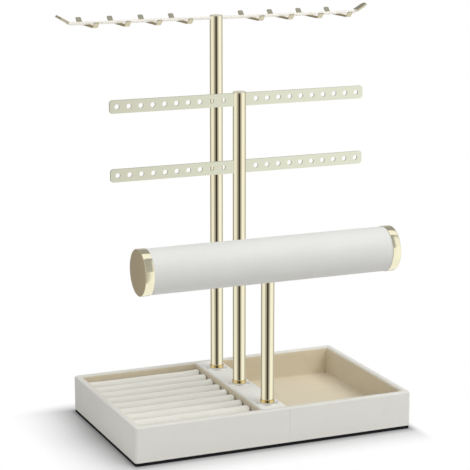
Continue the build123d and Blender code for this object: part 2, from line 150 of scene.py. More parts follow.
class MastLook(bpy.types.PropertyGroup):
    """Sizes and colours of the posts and of what they carry."""

    gold_colour: colour_setting("Gold plate", "Plating of posts and cap skirts", (0.935, 0.885, 0.655))
    foot_colour: colour_setting("Ferrule", "Deeper plating of the feet's ferrules", (0.74, 0.57, 0.24))
    flange_colour: colour_setting("Flange", "Pale plating of the feet's flanges", (0.95, 0.93, 0.85))
    # Partly the rod's own pale satin plating, partly a painted highlight: the half-matt ivory stands in for
    # the rod's bright highlight
    rod_colour_and_painted_highlight: colour_setting("Rod", "Satin ivory plating of the necklace rod", (0.94, 0.91, 0.84))
    hook_colour: colour_setting("Hooks", "Plating of the hooks and the rod's paddles", (0.66, 0.61, 0.44))
    # Painted shade: the upward faces of the hooks get this darker, deeper gold
    bowl_painted_shade_colour: colour_setting("Hook bowls painted shade", "Deepest plating, in the hooks' bowls", (0.58, 0.47, 0.22))
    # Painted shade: the half-raised faces of the upturned tips get this greyer, darker plating
    tip_painted_shade_colour: colour_setting("Hook tips painted shade", "Greyer plating inside the upturned tips", (0.36, 0.35, 0.27))
    strip_colour: colour_setting("Earring bars", "Satin champagne plating", (0.80, 0.815, 0.66))
    face_colour: colour_setting("Cap faces", "Satin plating of the bracelet bar's ends", (0.83, 0.73, 0.505))
    sleeve_colour: colour_setting("Bracelet leather", "Leather of the bracelet bar", (0.68, 0.68, 0.655))
    turning_steps: IntProperty(
        name="Turning steps", description="Facets round a turned piece", default=128, min=24, max=256)
    wire_steps: IntProperty(
        name="Wire steps", description="Facets round a wire", default=24, min=8, max=48)
    rod_corner: size_setting("Rod corner", "Where the rod turns up, from its middle", 141.3)
    hook_corner: size_setting("Hook corner", "Where a cross hook turns up, from its middle", 21.9)
    hole_diameter: size_setting("Earring hole", "Width of a hole for an earring wire", 4.3)
    first_hole: size_setting("First hole", "First hole of each half, from the bar's middle", 16.2)
    hole_pitch: size_setting("Hole pitch", "Distance from hole to hole", 11.25)


class StageLook(bpy.types.PropertyGroup):
    """Light and floor of the plain studio."""

    floor_colour: colour_setting("Floor", "White matt table top", (0.95, 0.95, 0.955))
    fill_strength: FloatProperty(
        name="Fill", description="Even light from all round", default=0.66, min=0)
    key_power: FloatProperty(
        name="Key", description="Power of the large soft lamp", unit="POWER", default=24.0, min=0)
    top_power: FloatProperty(
        name="Top", description="Power of the soft lamp above", unit="POWER", default=6.0, min=0)


def rounded(corners, steps):
    """Closed outline of (x, y, radius) corners, each one rounded to its radius."""
    outline = []
    for index, (x, y, radius) in enumerate(corners):
        corner = Vector((x, y))
        if radius <= 0:
            outline.append(corner)
            continue
        back = (Vector(corners[index - 1][:2]) - corner).normalized()
        ahead = (Vector(corners[(index + 1) % len(corners)][:2]) - corner).normalized()
        half = back.angle(ahead) / 2
        centre = corner + (back + ahead).normalized() * (radius / math.sin(half))
        start = corner + back * (radius / math.tan(half)) - centre
        end = corner + ahead * (radius / math.tan(half)) - centre
        first = math.atan2(start.y, start.x)
        turn = math.atan2(end.y, end.x) - first
        turn = (turn + math.pi) % (2 * math.pi) - math.pi
        for step in range(steps + 1):
            angle = first + turn * step / steps
            outline.append(centre + Vector((math.cos(angle), math.sin(angle))) * radius)
    return outline


@contextmanager
def editing(mesh):
    """Opens a mesh for editing and writes it back."""
    shape = bmesh.new()
    shape.from_mesh(mesh)
    yield shape
    shape.to_mesh(mesh)
    shape.free()


def build(name, points, faces):
    """New object at the origin from points and faces, doubles merged and faces turned outwards."""
    mesh = bpy.data.meshes.new(name)
    mesh.from_pydata(points, [], faces)
    with editing(mesh) as shape:
        bmesh.ops.remove_doubles(shape, verts=shape.verts, dist=1e-7)
        bmesh.ops.recalc_face_normals(shape, faces=shape.faces)
    piece = bpy.data.objects.new(name, mesh)
    bpy.context.scene.collection.objects.link(piece)
    return piece


def loft(name, rings):
    """Closed skin over rings of equal counts, with a face on each end."""
    count = len(rings[0])
    points = [point for ring in rings for point in ring]
    faces = []
    for row in range(len(rings) - 1):
        for step in range(count):
            after = (step + 1) % count
            faces.append((row * count + step, row * count + after,
                          (row + 1) * count + after, (row + 1) * count + step))
    faces.append(tuple(range(count)))
    faces.append(tuple(range((len(rings) - 1) * count, len(rings) * count)))
    return build(name, points, faces)


def lathe(name, profile, centre, along_x=False):
    """Turned piece: a closed profile of (radius, height) pairs spun round an axis through centre."""
    steps = bpy.context.scene.stand_masts.turning_steps
    count = len(profile)
    points = []
    for step in range(steps):
        angle = 2 * math.pi * step / steps
        for radius, height in profile:
            turned = (radius * math.cos(angle), radius * math.sin(angle), height)
            if along_x:
                turned = (height, radius * math.sin(angle), -radius * math.cos(angle))
            points.append(Vector(turned) + centre)
    faces = []
    for step in range(steps):
        after = (step + 1) % steps
        for place in range(count):
            beside = (place + 1) % count
            on_axis = profile[place][0] < 1e-9, profile[beside][0] < 1e-9
            here, there = step * count, after * count
            face = [here + place, there + place, there + beside, here + beside]
            if all(on_axis):
                continue
            if on_axis[0]:
                face = [face[0], face[2], face[3]]
            elif on_axis[1]:
                face = face[:3]
            faces.append(face)
    return build(name, points, faces)


def block(name, low, high):
    """Cutter with flat faces between two corners."""
    low, high = Vector(low), Vector(high)
    outline = [(low.x, low.y), (high.x, low.y), (high.x, high.y), (low.x, high.y)]
    return loft(name, [[Vector((x, y, z)) for x, y in outline] for z in (low.z, high.z)])


def settle(piece):
    """Turns a piece's modifiers into its plain mesh."""
    bpy.context.view_layer.update()
    finished = piece.evaluated_get(bpy.context.evaluated_depsgraph_get())
    mesh = bpy.data.meshes.new_from_object(finished)
    piece.modifiers.clear()
    old = piece.data
    piece.data = mesh
    if old.users == 0:
        bpy.data.meshes.remove(old)
    mesh.name = piece.name
    return piece


def discard(piece):
    """Throws a piece away with its mesh."""
    mesh = piece.data
    bpy.data.objects.remove(piece)
    bpy.data.meshes.remove(mesh)


def cut(piece, cutter):
    """Takes a cutter out of a piece and throws the cutter away."""
    step = piece.modifiers.new("cut", "BOOLEAN")
    step.operation = "DIFFERENCE"
    step.solver = "EXACT"
    step.object = cutter
    settle(piece)
    discard(cutter)
    return piece


def soften(piece, width, segments=2):
    """Breaks a piece's sharp edges."""
    step = piece.modifiers.new("edges", "BEVEL")
    step.width = width
    step.segments = segments
    step.limit_method = "ANGLE"
    step.angle_limit = math.radians(40)
    return settle(piece)


def shade(piece, angle=38):
    """Smooth faces, with edges sharper than the angle kept crisp."""
    piece.data.shade_smooth()
    piece.data.set_sharp_from_angle(angle=math.radians(angle))
    return piece


def part_shading(piece, ratio=4):
    """Parts the shading where a broad face meets a narrow one, so that flats stay flat."""
    with editing(piece.data) as shape:
        for edge in shape.edges:
            areas = sorted(face.calc_area() for face in edge.link_faces)
            if areas[-1] > ratio * areas[0]:
                edge.smooth = False
    return piece


def hand_over(piece, paint, body, nodes):
    """Gives a finished piece its material, its body and the nodes that it stands for.

    A piece that is painted in parts comes without a material. Pieces are kept out of the polished
    metal, which then shows the studio alone.
    """
    if not piece.data.polygons:
        raise RuntimeError(f"{piece.name} has no faces")
    if paint is not None:
        piece.data.materials.clear()
        piece.data.materials.append(paint)
    piece.visible_glossy = False
    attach(piece, body)
    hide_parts(*nodes)
    return piece


def paint_parts(piece, paints, choose):
    """Gives each face one of several materials, by the place in the list that is chosen for it."""
    piece.data.materials.clear()
    for paint in paints:
        piece.data.materials.append(paint)
    for face in piece.data.polygons:
        face.material_index = choose(face)
    return piece


def put(tree, value, socket):
    """Gives a socket its value, or joins it to another socket."""
    if isinstance(value, bpy.types.NodeSocket):
        tree.links.new(value, socket)
    else:
        socket.default_value = value


def add_node(tree, kind, inputs=(), **settings):
    """New node with its settings, and with inputs given by place or by name."""
    node = tree.nodes.new(kind)
    for key, value in settings.items():
        setattr(node, key, value)
    pairs = inputs.items() if isinstance(inputs, dict) else enumerate(inputs)
    for key, value in pairs:
        put(tree, value, node.inputs[key])
    return node


def arithmetic(tree, operation, *values):
    """Math node whose inputs are numbers or sockets."""
    return add_node(tree, "ShaderNodeMath", values, operation=operation).outputs[0]


def product(tree, first, *others):
    """Product of several values."""
    for other in others:
        first = arithmetic(tree, "MULTIPLY", first, other)
    return first


def spread(tree, value, low, high, from_low=0.0, from_high=1.0):
    """Maps a value from one range to another."""
    return add_node(tree, "ShaderNodeMapRange", {
        "Value": value, "From Min": from_low, "From Max": from_high, "To Min": low, "To Max": high,
    }).outputs["Result"]


def rise(tree, value, start, end):
    """0 up to the start and 1 from the end."""
    return spread(tree, value, 0.0, 1.0, start, end)


def fall(tree, value, start, end):
    """1 up to the start and 0 from the end."""
    return spread(tree, value, 1.0, 0.0, start, end)


def parted(tree, vector):
    """The three sides of a vector."""
    return add_node(tree, "ShaderNodeSeparateXYZ", (vector,)).outputs


def measured(tree, vector, axis):
    """How far a vector reaches along an axis."""
    return add_node(tree, "ShaderNodeVectorMath", (vector, axis), operation="DOT_PRODUCT").outputs["Value"]


def tinted(tree, colour, value):
    """A colour made lighter or darker by a value."""
    inputs = {0: colour, "Scale": value}
    return add_node(tree, "ShaderNodeVectorMath", inputs, operation="SCALE").outputs["Vector"]


def blend(tree, share, first, second):
    """The first colour at a share of 0, the second at 1."""
    inputs = {"Factor": share, "A": first, "B": second}
    return add_node(tree, "ShaderNodeMix", inputs, data_type="RGBA").outputs["Result"]


def ramp(tree, value, stops):
    """Colour by a value, from stops of (value, red, green, blue)."""
    node = add_node(tree, "ShaderNodeValToRGB", (value,))
    bands = node.color_ramp.elements
    while len(bands) < len(stops):
        bands.new(0.5)
    for band, (place, *colour) in zip(bands, stops):
        band.position = place
        band.color = (*colour, 1)
    return node.outputs["Color"]


def bump(tree, height, strength, distance):
    """Normal from a height."""
    inputs = {"Height": height, "Strength": strength, "Distance": distance}
    return add_node(tree, "ShaderNodeBump", inputs).outputs["Normal"]


def speckle(tree, place, scale, **inputs):
    """Noise that stays with its place."""
    return add_node(tree, "ShaderNodeTexNoise", {"Vector": place, "Scale": scale, **inputs}).outputs[0]


def open_effect(name, *numbers):
    """Empty shader node group with a tint and named numbers: the tree, its inputs and Object coordinates."""
    tree = bpy.data.node_groups.new(name, "ShaderNodeTree")
    tree.interface.new_socket(name="Tint", in_out="INPUT", socket_type="NodeSocketColor")
    for label in numbers:
        tree.interface.new_socket(name=label, in_out="INPUT", socket_type="NodeSocketFloat")
    for label, kind in (("Colour", "Color"), ("Roughness", "Float"), ("Normal", "Vector")):
        tree.interface.new_socket(name=label, in_out="OUTPUT", socket_type=f"NodeSocket{kind}")
    place = add_node(tree, "ShaderNodeTexCoord").outputs["Object"]
    return tree, tree.nodes.new("NodeGroupInput").outputs, place


def close_effect(tree, colour, roughness, normal):
    """Gives an effect its three results."""
    add_node(tree, "NodeGroupOutput", {"Colour": colour, "Roughness": roughness, "Normal": normal})
    return tree


def leather_grain():
    """Pressed pebble grain with soft mottling, for all the leathers."""
    tree, given, place = open_effect("leather grain", "Pebbles", "Depth", "Dullness")
    pebbles = add_node(tree, "ShaderNodeTexVoronoi", {"Vector": place, "Scale": given["Pebbles"]},
                       feature="DISTANCE_TO_EDGE")
    crease = rise(tree, pebbles.outputs["Distance"], 0.0, 0.22)
    pores = speckle(tree, place, 2600.0, Detail=3.0)
    mottle = speckle(tree, place, 46.0, Detail=4.0)
    height = arithmetic(tree, "MULTIPLY_ADD", pores, 0.5, crease)
    tone = product(tree, spread(tree, crease, 0.975, 1.0), spread(tree, mottle, 0.965, 1.03))
    dullness = arithmetic(tree, "ADD", given["Dullness"], spread(tree, mottle, -0.06, 0.06))
    return close_effect(tree, tinted(tree, given["Tint"], tone), dullness,
                        bump(tree, height, given["Depth"], 0.3 * MM))


def short_pile():
    """Short fibres that lie a little differently from place to place; painted shade below a roll's crest."""
    tree, given, place = open_effect("short pile", "Fibres", "Depth", "Brushing", "Crest", "Hollow")
    drop = arithmetic(tree, "SUBTRACT", given["Crest"], parted(tree, place)["Z"])
    # Painted shade: the cloth darkens the further it lies below the crest, in the grooves between rolls
    painted_groove_shade = product(tree, rise(tree, drop, 0.6 * MM, 4 * MM), given["Hollow"])
    fibres = speckle(tree, place, given["Fibres"], Detail=5.0, Roughness=0.7)
    brushed = speckle(tree, place, 60.0, Detail=3.0, Distortion=0.6)
    sway = arithmetic(tree, "MULTIPLY_ADD", spread(tree, brushed, -1.0, 1.0), given["Brushing"], 1.0)
    tone = product(tree, arithmetic(tree, "SUBTRACT", sway, painted_groove_shade), spread(tree, fibres, 0.93, 1.07))
    return close_effect(tree, tinted(tree, given["Tint"], tone), spread(tree, fibres, 0.85, 1.0),
                        bump(tree, fibres, given["Depth"], 0.5 * MM))


def plating():
    """Metal plating with faint clouding and hairline polishing marks."""
    tree, given, place = open_effect("plating", "Dullness", "Marks")
    cloud = speckle(tree, place, 70.0, Detail=3.0)
    marks = speckle(tree, place, 1500.0, Detail=2.0)
    dullness = arithmetic(tree, "ADD", given["Dullness"], spread(tree, cloud, -0.03, 0.03))
    return close_effect(tree, tinted(tree, given["Tint"], spread(tree, cloud, 0.97, 1.03)), dullness,
                        bump(tree, marks, given["Marks"], 0.2 * MM))


def pressed_fibre():
    """Fibres and flecks of board, card and wood."""
    tree, given, place = open_effect("pressed fibre", "Flecks")
    flecks = speckle(tree, place, given["Flecks"], Detail=6.0, Roughness=0.75)
    return close_effect(tree, tinted(tree, given["Tint"], spread(tree, flecks, 0.75, 1.2)),
                        spread(tree, flecks, 0.7, 0.95), bump(tree, flecks, 0.25, 0.3 * MM))


EFFECTS = {
    "leather grain": leather_grain,
    "short pile": short_pile,
    "plating": plating,
    "pressed fibre": pressed_fibre,
}


def finish(name, effect, values, **sockets):
    """Material that places one shared effect in a Principled shader with its own values."""
    known = bpy.data.materials.get(name)
    if known is not None:
        return known
    paint = bpy.data.materials.new(name)
    paint.use_nodes = True
    tree = paint.node_tree
    shader = tree.nodes["Principled BSDF"]
    effect_tree = bpy.data.node_groups.get(effect) or EFFECTS[effect]()
    surface = add_node(tree, "ShaderNodeGroup", node_tree=effect_tree)
    for label, value in values.items():
        put(tree, value, surface.inputs[label])
    for result, label in zip(surface.outputs, ("Base Color", "Roughness", "Normal")):
        put(tree, result, shader.inputs[label])
    for label, value in sockets.items():
        put(tree, value, shader.inputs[label.replace("_", " ")])
    return paint


def leather(name, tint, pebbles, depth, dullness, gloss):
    """One of the leathers."""
    values = {"Tint": tint, "Pebbles": pebbles, "Depth": depth, "Dullness": dullness}
    return finish(name, "leather grain", values, Specular_IOR_Level=gloss)


def plate(name, tint, dullness, marks, metallic=1.0, **sockets):
    """One of the metal platings."""
    values = {"Tint": tint, "Dullness": dullness, "Marks": marks}
    return finish(name, "plating", values, Metallic=metallic, **sockets)


def hook_plate(look):
    """Plating of the hooks and of the rod's two paddles."""
    return plate("hook plate", look.hook_colour, 0.12, 0.02)


class STAND_OT_studio(bpy.types.Operator):
    """White table top, even studio light and the camera"""

    bl_idname = "stand.studio"
    bl_label = "Studio"

    def execute(self, context):
        look = context.scene.stand_stage
        self.floor(look)
        self.world(context, look)
        self.lamps(look)
        lens = bpy.data.cameras.new("camera")
        lens.lens = CAMERA_LENS
        lens.sensor_width = 36
        lens.clip_end = 20
        context.scene.camera = self.aimed("camera", lens, CAMERA_PLACE, CAMERA_AIM)
        context.scene.view_settings.view_transform = "Standard"
        return {"FINISHED"}

    def floor(self, look):
        """White table top with a painted shade round the tray, that polished metal looks past to the studio.
        """
        outline = [(x * FLOOR_REACH, y * FLOOR_REACH, 0) for x, y in ((-1, -1), (1, -1), (1, 1), (-1, 1))]
        floor = build("floor", outline, [(0, 1, 2, 3)])
        paint = bpy.data.materials.new("table top")
        paint.use_nodes = True
        tree = paint.node_tree
        tree.nodes.remove(tree.nodes["Principled BSDF"])
        seen = add_node(tree, "ShaderNodeLightPath").outputs["Is Camera Ray"]
        x, y, _ = parted(tree, add_node(tree, "ShaderNodeNewGeometry").outputs["Position"])
        beside = {}
        for side, place, hand, half in (("right", x, 1, TRAY_HALF_WIDTH), ("left", x, -1, TRAY_HALF_WIDTH),
                                        ("rear", y, 1, TRAY_HALF_DEPTH), ("front", y, -1, TRAY_HALF_DEPTH)):
            out = arithmetic(tree, "MULTIPLY_ADD", place, hand, -half)
            beside[side] = arithmetic(tree, "MAXIMUM", out, 0.0)
        # What the camera sees close to the tray: a painted shade, wide at the left, that is lighter at two
        # corners
        contact_tones, corner_tone = (0.35, 0.55), 0.16
        front_corner, rear_corner = (-0.085, -0.005), (0.01, 0.075)
        front_width, left_width, left_start = 10 * MM, 70 * MM, 4 * MM
        width = spread(tree, beside["left"], front_width, left_width, 0.0, left_start)
        contact = arithmetic(tree, "DIVIDE", self.tray_distance(tree, beside), width)
        corners = arithmetic(tree, "ADD", spread(tree, y, corner_tone, 0.0, *front_corner),
                             spread(tree, y, 0.0, corner_tone, *rear_corner))
        corners = product(tree, corners, rise(tree, beside["left"], 0.0, left_start))
        # What the table throws back at the tray: more from the left, most of all from the left front
        bounce_tone, left_tone = 0.72, 0.5
        left_edge, left_front, left_reach = (-0.17, -0.13), (-0.12, -0.08), (-0.10, 0.08)
        leftward = product(tree, fall(tree, x, *left_edge), spread(tree, y, left_tone, 0.0, *left_reach),
                           rise(tree, y, *left_front))
        tone = add_node(tree, "ShaderNodeMix", {
            "Factor": seen,
            "A": arithmetic(tree, "ADD", leftward, bounce_tone),
            "B": arithmetic(tree, "ADD", spread(tree, contact, *contact_tones), corners),
        })
        matt = add_node(tree, "ShaderNodeBsdfDiffuse",
                        {"Color": tinted(tree, look.floor_colour[:3], tone.outputs["Result"])})
        # The camera sees the table brightened by a painted glow that grows with the distance from the tray,
        # then turn white, soonest at the right
        glow_tones, glow_reach, white_reach = (0.02, 0.42), 42 * MM, 80 * MM
        lightening = spread(tree, self.tray_distance(tree, beside, left=0.3), *glow_tones, 0.0, glow_reach)
        glow = add_node(tree, "ShaderNodeEmission", {"Strength": product(tree, seen, lightening)})
        near = add_node(tree, "ShaderNodeAddShader", (matt.outputs[0], glow.outputs[0]))
        white = add_node(tree, "ShaderNodeEmission")
        far = rise(tree, self.tray_distance(tree, beside, right=9.0, left=1.25, rear=3.0), 0.0, white_reach)
        shown = add_node(tree, "ShaderNodeMixShader",
                         (product(tree, seen, far), near.outputs[0], white.outputs[0]))
        put(tree, shown.outputs[0], tree.nodes["Material Output"].inputs["Surface"])
        floor.data.materials.append(paint)
        floor.visible_glossy = False

    def tray_distance(self, tree, beside, **stretch):
        """Distance from the tray's outline, with the distance beyond any side stretched."""
        beyond = {side: product(tree, out, stretch.get(side, 1.0)) for side, out in beside.items()}
        across = arithmetic(tree, "ADD", beyond["right"], beyond["left"])
        along = arithmetic(tree, "ADD", beyond["rear"], beyond["front"])
        squares = arithmetic(tree, "MULTIPLY_ADD", across, across, product(tree, along, along))
        return arithmetic(tree, "SQRT", squares)

    def world(self, context, look):
        """White behind the stand, even fill light on it, and the studio's tones in polished metal."""
        world = bpy.data.worlds.new("studio")
        context.scene.world = world
        world.use_nodes = True
        tree = world.node_tree
        fill = tree.nodes["Background"]
        put(tree, WHITE, fill.inputs["Color"])
        put(tree, look.fill_strength, fill.inputs["Strength"])
        mirrored = add_node(tree, "ShaderNodeBackground", {"Color": self.studio(tree)})
        white = add_node(tree, "ShaderNodeBackground", {"Color": WHITE})
        rays = add_node(tree, "ShaderNodeLightPath").outputs
        lit = add_node(tree, "ShaderNodeMixShader",
                       (rays["Is Glossy Ray"], fill.outputs[0], mirrored.outputs[0]))
        straight = arithmetic(tree, "MAXIMUM", rays["Is Camera Ray"], rays["Is Transmission Ray"])
        shown = add_node(tree, "ShaderNodeMixShader", (straight, lit.outputs[0], white.outputs[0]))
        put(tree, shown.outputs[0], tree.nodes["World Output"].inputs["Surface"])

    def studio(self, tree):
        """Tones of the studio by direction: soft boxes round the stand and above it, and a lit floor."""
        direction = add_node(tree, "ShaderNodeTexCoord").outputs["Generated"]
        x, y, z = parted(tree, direction)
        before, behind, beside = (ramp(tree, z, [(height, tone, tone, tone) for height, tone in tones])
                                  for tones in (TONES_BEFORE, TONES_BEHIND, TONES_BESIDE))
        front = blend(tree, rise(tree, x, *SIDE_BOX_X), before, beside)
        upper = blend(tree, rise(tree, measured(tree, direction, TO_CAMERA), *FRONT_HALF), behind, front)
        overhead = product(tree, rise(tree, y, *TOP_BOX_FRONT_Y), fall(tree, y, *TOP_BOX_REAR_Y),
                           rise(tree, z, *TOP_BOX_Z))
        upper = blend(tree, overhead, upper, WHITE)
        level = blend(tree, rise(tree, z, *HORIZON_TOP_Z), self.horizon(tree, direction), upper)
        return blend(tree, fall(tree, z, *FLOOR_EDGE_Z), level, TONE_BELOW)

    def horizon(self, tree, direction):
        """Tones round the horizon, a little warmer where they are darker."""
        angle = arithmetic(tree, "ARCTAN2", measured(tree, direction, CAMERA_RIGHT),
                           measured(tree, direction, TO_CAMERA))
        stops = []
        for degrees, tone in ROUND_TONES:
            warmth = 1 - 0.22 * (1 - tone)
            stops.append(((degrees + 180) / 360, tone, tone * (0.5 + 0.5 * warmth), tone * warmth))
        return ramp(tree, rise(tree, angle, -math.pi, math.pi), stops)

    def lamps(self, look):
        """Two large soft lamps: one from the right front, one straight above."""
        target = Vector((0, 0, 0.1))
        for name, place, power, width in (
            ("key", Vector((0.95, -1.15, 1.75)), look.key_power, 1.4),
            ("top", Vector((-0.1, 0.1, 1.7)), look.top_power, 1.6),
        ):
            lamp = bpy.data.lights.new(name, "AREA")
            lamp.energy = power
            lamp.shape = "SQUARE"
            lamp.size = width
            self.aimed(name, lamp, place, target - place).visible_glossy = False

    def aimed(self, name, data, place, direction):
        """Camera or lamp at a place, turned in a direction."""
        holder = bpy.data.objects.new(name, data)
        holder.location = place
        holder.rotation_euler = direction.to_track_quat("-Z", "Y").to_euler()
        bpy.context.scene.collection.objects.link(holder)
        return holder


def folded(look, first, last, foot, top):
    """Section of leather folded over a board: (across, height) round the outside and back along the board."""
    skin = look.leather_thickness
    rim = look.rim_radius
    return rounded((
        (first, foot, 0), (first, top, rim), (last, top, rim), (last, foot, 0),
        (last - skin, foot, 0), (last - skin, top - skin, rim - skin),
        (first + skin, top - skin, rim - skin), (first + skin, foot, 0),
    ), 7)


def toward_mitre(inset, half_length, corner, reach, share):
    """Place (along, inset) on one half of a wall, from its straight run at 0 to the mitre at 1."""
    if inset >= corner:
        return half_length - reach + (reach - inset) * share, inset
    straight = reach - corner
    radius = corner - inset
    gone = share * (straight + radius * math.pi / 4)
    if gone <= straight:
        return half_length - reach + gone, inset
    angle = (gone - straight) / radius
    return half_length - corner + radius * math.sin(angle), corner - radius * math.cos(angle)


class STAND_OT_tray_leather(bpy.types.Operator):
    """Leather folded over the four walls and over the partition"""

    bl_idname = "stand.tray_leather"
    bl_label = "Tray leather"

    def execute(self, context):
        look = context.scene.stand_tray
        paint = leather("off-white leather", look.leather_colour, 1100.0, 0.16, 0.46, 0.35)
        # The partition's leather is a lighter copy of the walls' leather: painted light from above
        top_paint = leather("partition leather", look.partition_colour_painted_lighter, 1100.0, 0.16, 0.46, 0.35)
        turned = {
            "front": lambda along, inset, z: (along, inset - TRAY_HALF_DEPTH, z),
            "rear": lambda along, inset, z: (-along, TRAY_HALF_DEPTH - inset, z),
            "right": lambda along, inset, z: (TRAY_HALF_WIDTH - inset, along, z),
            "left": lambda along, inset, z: (inset - TRAY_HALF_WIDTH, -along, z),
        }
        for side in WALL_SIDES:
            half_length = TRAY_HALF_WIDTH if side in ("front", "rear") else TRAY_HALF_DEPTH
            rings = self.wall_rings(look, half_length, side == "front")
            rings = [[Vector(turned[side](*point)) for point in ring] for ring in rings]
            hand_over(shade(loft(f"{side}_leather", rings)), paint, "base", [f"{side}_wrap"])
        hand_over(part_shading(shade(self.partition(look))), top_paint, "base", ["partition_wrap"])
        return {"FINISHED"}

    def wall_rings(self, look, half_length, with_seam):
        """Sections along a wall from mitre to mitre, pinched at the mitres and parted at the seam."""
        outline = folded(look, 0, WALL_THICKNESS, WALL_FOOT, RIM_HEIGHT)
        reach = WALL_THICKNESS + 3 * MM
        mitre_rows, straight_rows = 14, 30
        run = half_length - reach
        places = [run * (2 * step / straight_rows - 1) for step in range(straight_rows + 1)]
        seam_half = 0.45 * MM
        if with_seam:
            groove = (-0.9, -0.45, -0.2, 0.0, 0.2, 0.45, 0.9)
            places = sorted([place for place in places if abs(place - look.seam_place) > 1.5 * MM]
                            + [look.seam_place + step * MM for step in groove])
        shares = [row / mitre_rows for row in range(1, mitre_rows + 1)]
        rings = [self.mitre_ring(look, outline, half_length, reach, share, -1) for share in reversed(shares)]
        for place in places:
            part = max(0.0, 1 - abs(place - look.seam_place) / seam_half) if with_seam else 0.0
            ring = []
            for inset, height in outline:
                on_face = inset < 1e-6 and height < RIM_HEIGHT - look.rim_radius + 1e-6
                ring.append((place, inset + (part * look.seam_depth if on_face else 0), height))
            rings.append(ring)
        return rings + [self.mitre_ring(look, outline, half_length, reach, share, 1) for share in shares]

    def mitre_ring(self, look, outline, half_length, reach, share, hand):
        """One section on the way into a mitre."""
        pinch_reach = 1.1 * MM
        dip = look.pinch_depth * math.exp(-((1 - share) * reach / pinch_reach) ** 2)
        ring = []
        for inset, height in outline:
            along, across = toward_mitre(inset, half_length, look.corner_radius, reach, share)
            near_rim = max(0.0, (height - RIM_HEIGHT + look.rim_radius) / look.rim_radius)
            ring.append((hand * along, across, height - dip * near_rim))
        return ring

    def partition(self, look):
        """Inverted trough of leather between the front and the rear wall."""
        low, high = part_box("partition_wrap")
        outline = folded(look, low.x, high.x, low.z, high.z)
        rings = []
        rows = 40
        tuck_depth, tuck_reach = 0.3 * MM, 2.0 * MM
        for row in range(rows + 1):
            share = row / rows
            y = low.y + (high.y - low.y) * share
            from_end = min(share, 1 - share) * (high.y - low.y)
            dip = tuck_depth * math.exp(-(from_end / tuck_reach) ** 2)
            rings.append([Vector((x, y, z - dip * (z > high.z - look.rim_radius))) for x, z in outline])
        return loft("partition_leather", rings)


def tub_ring(low, high, inset, corner, z, side_steps=12, corner_steps=5):
    """Level ring of points round a bay, inset from its box."""
    left, right = low.x + inset, high.x - inset
    front, rear = low.y + inset, high.y - inset
    arcs = (
        (right - corner, front + corner, -0.5), (right - corner, rear - corner, 0.0),
        (left + corner, rear - corner, 0.5), (left + corner, front + corner, 1.0),
    )
    points = []
    for index, (x, y, start) in enumerate(arcs):
        for step in range(corner_steps + 1):
            angle = math.pi * (start + 0.5 * step / corner_steps)
            points.append(Vector((x + corner * math.cos(angle), y + corner * math.sin(angle), z)))
        following = arcs[(index + 1) % 4]
        angle = math.pi * (start + 0.5)
        begin = points[-1]
        end = Vector((following[0] + corner * math.cos(angle), following[1] + corner * math.sin(angle), z))
        for step in range(1, side_steps):
            points.append(begin.lerp(end, step / side_steps))
    return points


class STAND_OT_bay_linings(bpy.types.Operator):
    """Velvet-covered linings of the two bays"""

    bl_idname = "stand.bay_linings"
    bl_label = "Bay linings"

    def execute(self, context):
        look = context.scene.stand_tray
        paint = finish(
            "beige velvet", "short pile",
            {"Tint": look.velvet_colour, "Fibres": 2200.0, "Depth": 0.35, "Brushing": 0.05},
            Sheen_Weight=0.35, Sheen_Roughness=0.5, Specular_IOR_Level=0.15)
        skin, lip, cove = 0.8 * MM, 0.36 * MM, 1.6 * MM
        outer_corner, inner_corner = 0.4 * MM, 1.2 * MM
        for bay in ("ring_bay", "open_bay"):
            low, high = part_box(f"{bay}_liner")
            top = high.z - lip
            rings = [tub_ring(low, high, 0, outer_corner, z) for z in (low.z, top)]
            for step in range(1, 8):
                angle = math.pi * step / 7
                inset = skin / 2 - skin / 2 * math.cos(angle)
                rings.append(tub_ring(low, high, inset, outer_corner + inset, top + lip * math.sin(angle)))
            for share in (0.33, 0.66):
                rings.append(tub_ring(low, high, skin, inner_corner, top - share * (high.z - low.z - 4 * MM)))
            for step in range(6):
                angle = math.pi / 2 * step / 5
                inset = skin + cove * (1 - math.cos(angle))
                height = low.z + skin + cove * (1 - math.sin(angle))
                rings.append(tub_ring(low, high, inset, inner_corner, height))
            lining = shade(loft(f"{bay}_velvet", rings), 50)
            hand_over(lining, paint, "base", [f"{bay}_liner"])
        return {"FINISHED"}


